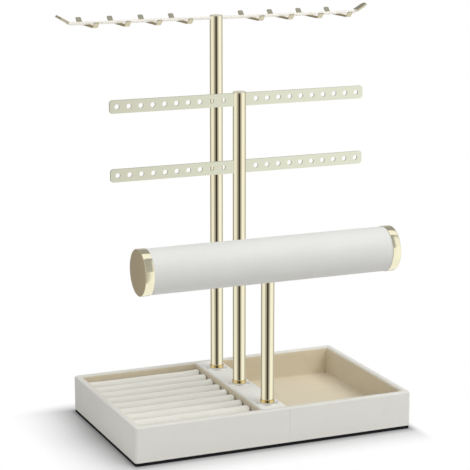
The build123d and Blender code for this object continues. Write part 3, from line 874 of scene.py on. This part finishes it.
class STAND_OT_ring_rolls(bpy.types.Operator):
    """Nine foam rolls in soft cloth"""

    bl_idname = "stand.ring_rolls"
    bl_label = "Ring rolls"

    def execute(self, context):
        look = context.scene.stand_tray
        low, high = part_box("ring_roll_5")
        # Roll cloth with a painted shade that darkens it below the crest, between the rolls
        paint = finish(
            "roll cloth", "short pile",
            {"Tint": look.roll_colour, "Fibres": 2600.0, "Depth": 0.22, "Brushing": 0.03,
             "Crest": high.z, "Hollow": 0.16},
            Sheen_Weight=0.7, Sheen_Roughness=0.35, Specular_IOR_Level=0.12)
        middle = (low.y + high.y) / 2
        form = self.form(look, low, high, middle)
        for number in range(1, ROLL_COUNT + 1):
            roll_low, roll_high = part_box(f"ring_roll_{number}")
            roll = form.copy()
            roll.data = form.data.copy()
            roll.name = f"roll_{number}"
            roll.data.name = roll.name
            context.scene.collection.objects.link(roll)
            shift = (roll_low.y + roll_high.y) / 2 - middle
            for point in roll.data.vertices:
                point.co.x = point.co.x if number % 2 else low.x + high.x - point.co.x
                wave = look.roll_unevenness * max(0.0, (point.co.z - low.z) / (high.z - low.z))
                seat = Vector((point.co.x * 40, point.co.y * 40, number * 7.3))
                point.co.z += wave * noise.noise(seat)
                point.co.y += shift + 0.5 * wave * noise.noise(seat + Vector((5, 9, 2)))
            with editing(roll.data) as shape:
                bmesh.ops.recalc_face_normals(shape, faces=shape.faces)
            shade(roll, 60)
            hand_over(roll, paint, "base", [f"ring_roll_{number}"])
        discard(form)
        return {"FINISHED"}

    def form(self, look, low, high, middle):
        """One roll, a little slim, that its foam then fills."""
        slim = 0.35 * MM
        half = (high.y - low.y) / 2 - slim
        top = high.z - slim
        shoulder = high.z - 0.85 * (high.y - low.y) / 2
        length = high.x - low.x
        end_round, end_draw = 1.0 * MM, 0.7 * MM
        end_reach, end_bow = 12 * MM, 3.6 * MM
        stations = []
        for step in range(6):
            angle = math.pi / 2 * step / 5
            stations.append((slim + end_round * (1 - math.cos(angle)), end_draw * (1 - math.sin(angle))))
        body_rows = 54
        begin = slim + end_round
        body = [(begin + (length - 2 * begin) * step / body_rows, 0.0) for step in range(1, body_rows)]
        far = [(length - along, drawn) for along, drawn in reversed(stations)]
        rings = []
        for along, drawn in stations + body + far:
            ring = self.section(low.x + along, middle, low.z, half, shoulder, top, drawn)
            inward = 1 if along < length / 2 else -1
            near = max(0.0, 1 - min(along, length - along) / end_reach)
            for point in ring:
                aside = min(abs(point.y - middle) / half, 1)
                point.x += inward * near * end_bow * (1 - math.sqrt(1 - aside ** 2))
            rings.append(ring)
        form = loft("roll_form", rings)
        self.fill(form, look, low, high)
        smoother = form.modifiers.new("smooth", "SUBSURF")
        smoother.levels = 1
        smoother.render_levels = 1
        return settle(form)

    def section(self, x, middle, foot, half, shoulder, top, drawn):
        """Arched section with drawn-in feet, drawn in all round towards an end."""
        width = half - drawn / 2
        side = shoulder - foot - drawn / 2
        crown = top - foot - drawn
        tuck = 0.6 * MM
        points = [(-(width - tuck) * (1 - 2 * step / 6), foot) for step in range(6)]
        points += [(width - tuck * (1 - step / 4), foot + side * step / 4) for step in range(4)]
        for step in range(14):
            angle = math.pi * step / 14
            points.append((width * math.cos(angle), foot + side + (crown - side) * math.sin(angle)))
        points += [(-width + tuck * step / 4, foot + side * (1 - step / 4)) for step in range(4)]
        return [Vector((x, middle + y, z)) for y, z in points]

    def fill(self, form, look, low, high):
        """Cloth that foam presses out, at ten times the size, with its foot held."""
        scale = 10.0
        foot_height = 4 * MM
        last_frame = 20
        centre = (low + high) / 2
        rest = [point.co.copy() for point in form.data.vertices]
        held = form.vertex_groups.new(name="foot")
        for point in form.data.vertices:
            if point.co.z < low.z + foot_height:
                held.add([point.index], 1.0, "REPLACE")
            point.co = (point.co - centre) * scale
        cloth = form.modifiers.new("cloth", "CLOTH")
        for setting, value in {
            "vertex_group_mass": "foot", "quality": 6, "mass": 0.2, "tension_stiffness": 8,
            "compression_stiffness": 8, "shear_stiffness": 4, "bending_stiffness": 0.4,
            "use_pressure": True, "uniform_pressure_force": 8.0,
        }.items():
            setattr(cloth.settings, setting, value)
        cloth.settings.effector_weights.gravity = 0
        cloth.point_cache.frame_start = 1
        cloth.point_cache.frame_end = last_frame
        scene = bpy.context.scene
        for number in range(1, last_frame + 1):
            scene.frame_set(number)
        swollen = form.evaluated_get(bpy.context.evaluated_depsgraph_get()).data
        moved = [point.co.copy() / scale + centre for point in swollen.vertices]
        scene.frame_set(1)
        form.modifiers.remove(cloth)
        form.vertex_groups.clear()
        for point, before, after in zip(form.data.vertices, rest, moved):
            step = after - before
            if step.length > look.roll_swell:
                step *= look.roll_swell / step.length
            point.co = before + step
            for axis in range(3):
                point.co[axis] = min(max(point.co[axis], low[axis] + CLEARANCE), high[axis] - CLEARANCE)


class STAND_OT_posts(bpy.types.Operator):
    """Tubes, feet and caps of the three posts"""

    bl_idname = "stand.posts"
    bl_label = "Posts"

    def execute(self, context):
        look = context.scene.stand_masts
        gold = plate("gold plate", look.gold_colour, 0.075, 0.004)
        foot_paints = (plate("foot plate", look.foot_colour, 0.13, 0.004),
                       plate("flange plate", look.flange_colour, 0.25, 0.004, metallic=0.7))
        for post in POSTS:
            hand_over(shade(self.tube(post)), gold, f"{post}_mast", [f"{post}_post"])
            foot = shade(self.foot(post))
            axis = POST_PLACES[post].xy
            flange_start = FERRULE_RADIUS + 0.1 * MM
            paint_parts(foot, foot_paints, lambda face: (face.center.xy - axis).length > flange_start)
            hand_over(foot, None, f"{post}_mast", [f"{post}_post_foot"])
        bar_low, bar_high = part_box("upper_earring_bar")
        for post, carried in (("rear", 2 * ROD_RADIUS), ("middle", bar_high.y - bar_low.y)):
            cap = shade(self.cap(post, carried + 2 * CLEARANCE))
            hand_over(cap, gold, f"{post}_mast", [f"{post}_post_cap"])
        return {"FINISHED"}

    def tube(self, post):
        """Tube with broken edges, slotted for what it carries."""
        low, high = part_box(f"{post}_post")
        axis = Vector((0, POST_PLACES[post].y, 0))
        outer = (high.x - low.x) / 2
        inner = outer - TUBE_WALL
        ease = 0.15 * MM
        over = 1 * MM
        profile = rounded((
            (inner, low.z, 0), (outer, low.z, ease), (outer, high.z, ease), (inner, high.z, 0)), 3)
        tube = lathe(f"{post}_tube", profile, axis)
        if post == "rear":
            radius = ROD_RADIUS + CLEARANCE
            left, right = axis.y - radius, axis.y + radius
            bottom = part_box("hook_rod")[0].z + ROD_RADIUS - radius
            outline = rounded((
                (left, bottom, radius * 0.98), (right, bottom, radius * 0.98),
                (right, high.z + over, 0), (left, high.z + over, 0)), 8)
            ends = (-2 * outer, 2 * outer)
            cut(tube, loft("notch", [[Vector((x, y, z)) for y, z in outline] for x in ends]))
        if post == "middle":
            for bar, above in (("upper", over), ("lower", CLEARANCE)):
                bar_low, bar_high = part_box(f"{bar}_earring_bar")
                cut(tube, block("slot", (-2 * outer, bar_low.y - CLEARANCE, bar_low.z - CLEARANCE),
                                (2 * outer, bar_high.y + CLEARANCE, bar_high.z + above)))
        return tube

    def foot(self, post):
        """Flange and ferrule with the spigot that the tube is pushed over."""
        low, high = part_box(f"{post}_post_foot")
        radius = (high.x - low.x) / 2
        flange = low.z + DISC_THICKNESS
        ferrule = flange + FERRULE_HEIGHT
        profile = rounded((
            (SCREW_BORE_RADIUS, low.z, 0), (radius, low.z, 0.1 * MM), (radius, flange, 0.4 * MM),
            (FERRULE_RADIUS, flange, 0.25 * MM), (FERRULE_RADIUS, ferrule, 0.35 * MM),
            (SPIGOT_RADIUS, ferrule, 0), (SPIGOT_RADIUS, high.z, 0.3 * MM),
            (SCREW_BORE_RADIUS, high.z, 0)), 5)
        return lathe(f"{post}_foot", profile, Vector((0, POST_PLACES[post].y, 0)))

    def cap(self, post, slot_width):
        """Disc with a plug whose two halves straddle what the post carries."""
        low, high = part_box(f"{post}_post_cap")
        radius = (high.x - low.x) / 2
        seat = high.z - DISC_THICKNESS
        y = POST_PLACES[post].y
        profile = rounded((
            (0, low.z, 0), (SPIGOT_RADIUS, low.z, 0.2 * MM), (SPIGOT_RADIUS, seat, 0),
            (radius, seat, 0.1 * MM), (radius, high.z, 0.4 * MM), (0, high.z, 0)), 5)
        cap = lathe(f"{post}_cap", profile, Vector((0, y, 0)))
        return cut(cap, block("straddle", (-2 * radius, y - slot_width / 2, low.z - 1 * MM),
                              (2 * radius, y + slot_width / 2, seat)))


def bent(distance, straight, radius, turn):
    """Place (outwards, up) and slope at a distance along a wire that bends up once."""
    if distance <= straight:
        return Vector((distance, 0)), 0.0
    angle = min((distance - straight) / radius, turn)
    place = Vector((straight + radius * math.sin(angle), radius * (1 - math.cos(angle))))
    past = distance - straight - radius * angle
    return place + Vector((math.cos(angle), math.sin(angle))) * past, angle


def wire_section(steps, radius, half_width, half_thickness, edge, pressed):
    """Section of a wire (across, through), from round at 0 to a flat strip with eased edges at 1."""
    points = []
    for corner, (right, up) in enumerate(((1, 1), (-1, 1), (-1, -1), (1, -1))):
        for step in range(steps):
            angle = math.pi / 2 * (corner + (step + 0.5) / steps)
            turned = math.pi / 2 * (corner + step / (steps - 1))
            wire = Vector((math.cos(angle), math.sin(angle))) * radius
            strip = Vector((right * (half_width - edge) + edge * math.cos(turned),
                            up * (half_thickness - edge) + edge * math.sin(turned)))
            points.append(wire.lerp(strip, pressed))
    return points


def pressed_wire(name, middle, outward, sizes):
    """Straight wire whose two ends bend up and are pressed out to flat strips with rounded tips."""
    steps = bpy.context.scene.stand_masts.wire_steps // 4
    turn = math.radians(sizes["bend_angle"])
    straight = sizes["corner"] - sizes["bend_radius"] * math.tan(turn / 2)
    bend_end = straight + sizes["bend_radius"] * turn
    end = bend_end + sizes["end_length"]
    press = sizes["press_start"]
    tip = sizes["tip_radius"]
    edge = 0.28 * sizes["thickness"]
    places = [straight * share for share in (0, 0.2, 0.4, 0.6)]
    places += [straight + (bend_end - straight) * step / 10 for step in range(11)]
    places += [press + sizes["press_length"] * step / 8 for step in range(9)]
    places += [end - tip * (1 - math.sin(math.pi / 2 * step / 10)) for step in range(10)]
    places += [end - edge * (1 - math.sin(math.pi / 2 * step / 4)) for step in range(5)]
    places = sorted(set(round(place, 7) for place in places if place >= 0))
    stations = []
    for distance in places:
        share = min(max((distance - press) / sizes["press_length"], 0), 1)
        rest = max(tip - (end - distance), 0)
        half_width = sizes["width"] / 2 - tip + math.sqrt(max(tip ** 2 - rest ** 2, 0))
        ease = max(edge - (end - distance), 0)
        inset = edge - math.sqrt(max(edge ** 2 - ease ** 2, 0))
        section = wire_section(steps, sizes["radius"], max(half_width, 2 * edge) - inset,
                               sizes["thickness"] / 2 - inset, edge - 0.9 * inset,
                               share * share * (3 - 2 * share))
        stations.append((*bent(distance, straight, sizes["bend_radius"], turn), section))
    up = Vector((0, 0, 1))
    rings = []
    for hand in (-1, 1):
        half = stations if hand > 0 else list(reversed(stations))[:-1]
        side = up.cross(outward)
        for place, angle, section in half:
            normal = up * math.cos(angle) - outward * (hand * math.sin(angle))
            centre = middle + outward * (hand * place.x) + up * place.y
            rings.append([centre + side * across + normal * through for across, through in section])
    return part_shading(shade(loft(name, rings), 50))


class STAND_OT_necklace_rod(bpy.types.Operator):
    """Rod with two pressed, upturned ends"""

    bl_idname = "stand.necklace_rod"
    bl_label = "Necklace rod"

    def execute(self, context):
        look = context.scene.stand_masts
        low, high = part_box("hook_rod")
        middle = Vector((0, (low.y + high.y) / 2, low.z + ROD_RADIUS))
        bend_radius, bend_angle = 6 * MM, 30
        bend = math.radians(bend_angle)
        rod = pressed_wire("necklace_rod", middle, Vector((1, 0, 0)), {
            "radius": ROD_RADIUS, "corner": look.rod_corner,
            "bend_radius": bend_radius, "bend_angle": bend_angle,
            "end_length": 13.6 * MM, "press_length": 1.6 * MM, "width": high.y - low.y, "thickness": 2 * MM,
            "press_start": look.rod_corner + bend_radius * (bend - math.tan(bend / 2)), "tip_radius": 4 * MM})
        paddle_start = look.rod_corner + 2 * MM
        # The rod's half-matt ivory plating is partly a painted highlight
        paint_parts(rod, (plate("satin rod", look.rod_colour_and_painted_highlight, 0.34, 0.02, metallic=0.5), hook_plate(look)),
                    lambda face: abs(face.center.x) > paddle_start)
        hand_over(rod, None, "rear_mast", ["hook_rod"])
        return {"FINISHED"}


def open_tree(name, **inputs):
    """Empty Geometry Nodes tree with named inputs: the tree, its inputs and their identifiers."""
    tree = bpy.data.node_groups.new(name, "GeometryNodeTree")
    tree.interface.new_socket(name="Geometry", in_out="INPUT", socket_type="NodeSocketGeometry")
    keys = {}
    for label, kind in inputs.items():
        label = label.replace("_", " ")
        socket = tree.interface.new_socket(name=label, in_out="INPUT", socket_type=f"NodeSocket{kind}")
        keys[label] = socket.identifier
    tree.interface.new_socket(name="Geometry", in_out="OUTPUT", socket_type="NodeSocketGeometry")
    return tree, tree.nodes.new("NodeGroupInput").outputs, keys


def close_tree(tree, shape, paint):
    """Ends a tree in real geometry with its material."""
    real = add_node(tree, "GeometryNodeRealizeInstances", (shape,))
    coat = add_node(tree, "GeometryNodeSetMaterial", {"Geometry": real.outputs[0], "Material": paint})
    add_node(tree, "NodeGroupOutput", (coat.outputs[0],))


def joined(tree, *shapes):
    """Several shapes as one."""
    join = tree.nodes.new("GeometryNodeJoinGeometry")
    for shape in shapes:
        put(tree, shape, join.inputs[0])
    return join.outputs[0]


def mirrored_rows(tree, count, first, pitch):
    """Points on both halves of the X axis, from the first place outwards."""
    rows = []
    for hand in (-1, 1):
        start, step = (add_node(tree, "ShaderNodeCombineXYZ", (arithmetic(tree, "MULTIPLY", value, hand),))
                       for value in (first, pitch))
        rows.append(add_node(tree, "GeometryNodeMeshLine", {
            "Count": count, "Start Location": start.outputs[0], "Offset": step.outputs[0]}).outputs["Mesh"])
    return joined(tree, *rows)


def grow(name, tree, keys, values):
    """Plain mesh object from a tree and its input values."""
    piece = build(name, [(0, 0, 0), (MM, 0, 0), (0, MM, 0)], [(0, 1, 2)])
    step = piece.modifiers.new("tree", "NODES")
    step.node_group = tree
    for label, value in values.items():
        step[keys[label]] = value
    return settle(piece)


class STAND_OT_cross_hooks(bpy.types.Operator):
    """Double hooks in a row under the rod"""

    bl_idname = "stand.cross_hooks"
    bl_label = "Cross hooks"

    def execute(self, context):
        look = context.scene.stand_masts
        low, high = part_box("cross_hook_5")
        next_low, next_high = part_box("cross_hook_6")
        first = (low.x + high.x) / 2
        pitch = (next_low.x + next_high.x) / 2 - first
        middle = Vector((0, (low.y + high.y) / 2, low.z + HOOK_THICKNESS / 2))
        hook = pressed_wire("hook", middle, Vector((0, 1, 0)), {
            "radius": HOOK_THICKNESS / 2, "corner": look.hook_corner, "bend_radius": 3 * MM, "bend_angle": 45,
            "end_length": 5.2 * MM, "press_length": 1 * MM, "width": high.x - low.x,
            "thickness": HOOK_THICKNESS, "press_start": -1 * MM, "tip_radius": 1 * MM})
        # The bowls and the tips get darker copies of the hook plating: painted shade
        paints = (hook_plate(look),
                  plate("hook bowl plate", look.bowl_painted_shade_colour, 0.12, 0.02, Specular_Tint=look.bowl_painted_shade_colour),
                  plate("hook tip plate", look.tip_painted_shade_colour, 0.12, 0.02))
        tree, keys = self.row_tree()
        hooks = grow("cross_hooks", tree, keys, {
            "Hook": hook, "Per Side": HOOK_COUNT // 2, "First": first, "Pitch": pitch, "Finish": paints[0]})
        discard(hook)
        paint_parts(hooks, paints, self.part)
        hand_over(hooks, None, "rear_mast",
                  [f"cross_hook_{number}" for number in range(1, HOOK_COUNT + 1)])
        return {"FINISHED"}

    def part(self, face):
        """0 on the outside of a hook, 1 in its bowl, 2 inside its upturned tip, by how far a face looks up; 1
        and 2 are painted shade.
        """
        if face.normal.z > 0.8:
            return 1
        return 2 if face.normal.z > 0.4 else 0

    def row_tree(self):
        """One hook, repeated on both halves of the rod."""
        tree, given, keys = open_tree("hook row", Hook="Object", Per_Side="Int", First="Float", Pitch="Float",
                                      Finish="Material")
        rows = mirrored_rows(tree, given["Per Side"], given["First"], given["Pitch"])
        shape = add_node(tree, "GeometryNodeObjectInfo", {"Object": given["Hook"]})
        spots = add_node(tree, "GeometryNodeInstanceOnPoints",
                         {"Points": rows, "Instance": shape.outputs["Geometry"]})
        close_tree(tree, spots.outputs["Instances"], given["Finish"])
        return tree, keys


class STAND_OT_earring_bars(bpy.types.Operator):
    """Two flat bars with rows of holes"""

    bl_idname = "stand.earring_bars"
    bl_label = "Earring bars"

    def execute(self, context):
        look = context.scene.stand_masts
        paint = plate("satin champagne", look.strip_colour, 0.2, 0.02)
        tree, keys = self.bar_tree()
        for level in ("upper", "lower"):
            low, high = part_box(f"{level}_earring_bar")
            bar = grow(f"{level}_bar", tree, keys, {
                "Length": high.x - low.x, "Height": high.z - low.z, "Thickness": high.y - low.y,
                "Corner": 3 * MM, "Hole Radius": look.hole_diameter / 2, "Per Side": HOLES_PER_SIDE,
                "First": look.first_hole, "Pitch": look.hole_pitch,
                "Place": Vector((0, high.y, (low.z + high.z) / 2)), "Finish": paint})
            shade(soften(bar, 0.18 * MM), 32)
            for polygon in bar.data.polygons:
                polygon.use_smooth = abs(polygon.normal.y) < 0.99
            hand_over(bar, paint, "middle_mast", [f"{level}_earring_bar"])
        return {"FINISHED"}

    def bar_tree(self):
        """Rounded strip with its holes, filled and given its thickness."""
        tree, given, keys = open_tree(
            "earring bar", Length="Float", Height="Float", Thickness="Float", Corner="Float",
            Hole_Radius="Float", Per_Side="Int", First="Float", Pitch="Float", Place="Vector",
            Finish="Material")
        strip = add_node(tree, "GeometryNodeCurvePrimitiveQuadrilateral",
                         {"Width": given["Length"], "Height": given["Height"]})
        corners = add_node(tree, "GeometryNodeFilletCurve", {
            "Curve": strip.outputs["Curve"], "Count": 10, "Radius": given["Corner"]}, mode="POLY")
        hole = add_node(tree, "GeometryNodeCurvePrimitiveCircle",
                        {"Resolution": 36, "Radius": given["Hole Radius"]})
        rows = mirrored_rows(tree, given["Per Side"], given["First"], given["Pitch"])
        spots = add_node(tree, "GeometryNodeInstanceOnPoints",
                         {"Points": rows, "Instance": hole.outputs["Curve"]})
        holes = add_node(tree, "GeometryNodeRealizeInstances", (spots.outputs["Instances"],))
        outlines = joined(tree, corners.outputs["Curve"], holes.outputs["Geometry"])
        sheet = add_node(tree, "GeometryNodeFillCurve", {"Curve": outlines}).outputs["Mesh"]
        thick = add_node(tree, "GeometryNodeExtrudeMesh", {
            "Mesh": sheet, "Offset Scale": given["Thickness"], "Individual": False})
        back = add_node(tree, "GeometryNodeFlipFaces", {"Mesh": sheet})
        closed = add_node(tree, "GeometryNodeMergeByDistance", {
            "Geometry": joined(tree, thick.outputs["Mesh"], back.outputs["Mesh"]), "Distance": 1e-6})
        upright = add_node(tree, "GeometryNodeTransform", {
            "Geometry": closed.outputs["Geometry"], "Translation": given["Place"],
            "Rotation": (math.pi / 2, 0, 0)})
        close_tree(tree, upright.outputs["Geometry"], given["Finish"])
        return tree, keys


class STAND_OT_bracelet_bar(bpy.types.Operator):
    """Leather sleeve and the two metal end caps"""

    bl_idname = "stand.bracelet_bar"
    bl_label = "Bracelet bar"

    def execute(self, context):
        look = context.scene.stand_masts
        low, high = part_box("bracelet_sleeve")
        axis = Vector((0, (low.y + high.y) / 2, (low.z + high.z) / 2))
        sleeve = shade(self.sleeve(low, high, axis))
        paint = leather("white leather", look.sleeve_colour, 1300.0, 0.10, 0.42, 0.4)
        hand_over(sleeve, paint, "front_mast", ["bracelet_sleeve"])
        paints = (plate("cap skirt", look.gold_colour, 0.08, 0.02),
                  plate("cap face", look.face_colour, 0.3, 0.08))
        for hand, side in ((-1, "left"), (1, "right")):
            cap = shade(self.cap(side, hand, axis))
            rim = 0.85 * (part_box(f"{side}_end_cap")[1].z - axis.z)
            paint_parts(cap, paints, lambda face: face.normal.x * hand > 0.99
                        or math.hypot(face.center.y - axis.y, face.center.z - axis.z) < rim)
            hand_over(cap, None, "front_mast", [f"{side}_end_cap"])
        return {"FINISHED"}

    def sleeve(self, low, high, axis):
        """Leather tube with its glued seam along the underside, pierced by the post."""
        thickness = 1.1 * MM
        seam_half, seam_depth = 0.3 * MM, 0.22 * MM
        radius = high.z - axis.z
        inner = radius - thickness
        rows = 60
        profile = [(inner, low.x), (inner, high.x)]
        profile += [(radius, high.x - (high.x - low.x) * row / rows) for row in range(rows + 1)]
        sleeve = lathe("bracelet_leather", profile, axis, along_x=True)
        for point in sleeve.data.vertices:
            across = point.co - axis
            underside = across.z < 0 and abs(across.y) < seam_half
            if underside and math.hypot(across.y, across.z) > radius - 0.2 * MM:
                point.co.z += seam_depth
        post_low, post_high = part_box("front_post")
        reach = (post_high.x - post_low.x) / 2 + CLEARANCE
        foot = low.z - 5 * MM
        bore = lathe("bore", [(0, foot), (reach, foot), (reach, axis.z), (0, axis.z)], Vector((0, axis.y, 0)))
        return cut(sleeve, bore)

    def cap(self, side, hand, axis):
        """Pressed cup with a rounded edge and a thin skirt."""
        low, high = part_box(f"{side}_end_cap")
        skirt_thickness, face_thickness = 0.45 * MM, 0.8 * MM
        radius = high.z - axis.z
        face = low.x if hand < 0 else high.x
        skirt = high.x if hand < 0 else low.x
        inner = radius - skirt_thickness
        back = face - hand * face_thickness
        profile = rounded((
            (0, face, 0), (radius, face, 0.6 * MM), (radius, skirt, 0.2 * MM), (inner, skirt, 0.15 * MM),
            (inner, back, 0), (0, back, 0)), 6)
        return lathe(f"{side}_cap", profile, axis, along_x=True)


class STAND_OT_inner_parts(bpy.types.Operator):
    """Finishes of the parts that keep the frame's own shape"""

    bl_idname = "stand.inner_parts"
    bl_label = "Inner parts"

    def execute(self, context):
        foam = finish("black foam", "short pile",
                      {"Tint": (0.012, 0.012, 0.013, 1), "Fibres": 1500.0, "Depth": 0.4, "Brushing": 0.1},
                      Specular_IOR_Level=0.1)
        board = finish("fibreboard", "pressed fibre", {"Tint": (0.42, 0.30, 0.19, 1), "Flecks": 500.0})
        card = finish("card", "pressed fibre", {"Tint": (0.46, 0.38, 0.28, 1), "Flecks": 900.0})
        wood = finish("hardwood", "pressed fibre", {"Tint": (0.52, 0.37, 0.22, 1), "Flecks": 160.0})
        zinc = plate("zinc plate", (0.62, 0.63, 0.62, 1), 0.32, 0.1)
        brass = plate("turned brass", (0.78, 0.58, 0.28, 1), 0.28, 0.1)
        kept = {"base_pad": foam, "bottom_board": board, "partition_core": board, "ring_card": card,
                "bracelet_core": card, "bracelet_saddle": wood, "saddle_insert": brass,
                "front_post_stud": zinc}
        for side in WALL_SIDES:
            kept[f"{side}_board"] = board
        for post in POSTS:
            kept[f"{post}_post_screw"] = zinc
            kept[f"{post}_post_washer"] = zinc
        for node, paint in kept.items():
            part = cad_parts[node]
            part.data.materials.clear()
            part.data.materials.append(paint)
            part.visible_glossy = False
        return {"FINISHED"}


class STAND_PT_panel(bpy.types.Panel):
    """Lists the stand's pieces in the sidebar"""

    bl_idname = "STAND_PT_panel"
    bl_label = "Jewelry stand"
    bl_space_type = "VIEW_3D"
    bl_region_type = "UI"
    bl_category = "Stand"

    def draw(self, context):
        for operator in OPERATORS:
            self.layout.operator(operator.bl_idname)
        for settings in (context.scene.stand_tray, context.scene.stand_masts, context.scene.stand_stage):
            for label in settings.bl_rna.properties.keys():
                if label not in ("rna_type", "name"):
                    self.layout.prop(settings, label)


OPERATORS = (
    STAND_OT_studio,
    STAND_OT_tray_leather,
    STAND_OT_bay_linings,
    STAND_OT_ring_rolls,
    STAND_OT_posts,
    STAND_OT_necklace_rod,
    STAND_OT_cross_hooks,
    STAND_OT_earring_bars,
    STAND_OT_bracelet_bar,
    STAND_OT_inner_parts,
)
LOOKS = {"stand_tray": TrayLook, "stand_masts": MastLook, "stand_stage": StageLook}


def register():
    """Adds the stand's settings, operators and panel."""
    for settings in LOOKS.values():
        bpy.utils.register_class(settings)
    for name, settings in LOOKS.items():
        setattr(bpy.types.Scene, name, PointerProperty(type=settings))
    for operator in OPERATORS:
        bpy.utils.register_class(operator)
    bpy.utils.register_class(STAND_PT_panel)


def unregister():
    """Takes them away again."""
    bpy.utils.unregister_class(STAND_PT_panel)
    for operator in reversed(OPERATORS):
        bpy.utils.unregister_class(operator)
    for name, settings in LOOKS.items():
        delattr(bpy.types.Scene, name)
        bpy.utils.unregister_class(settings)


def main():
    """Dresses the stand piece by piece."""
    register()
    bpy.ops.stand.studio()
    bpy.ops.stand.tray_leather()
    bpy.ops.stand.bay_linings()
    bpy.ops.stand.ring_rolls()
    bpy.ops.stand.posts()
    bpy.ops.stand.necklace_rod()
    bpy.ops.stand.cross_hooks()
    bpy.ops.stand.earring_bars()
    bpy.ops.stand.bracelet_bar()
    bpy.ops.stand.inner_parts()


if __name__ == "__main__":
    main()
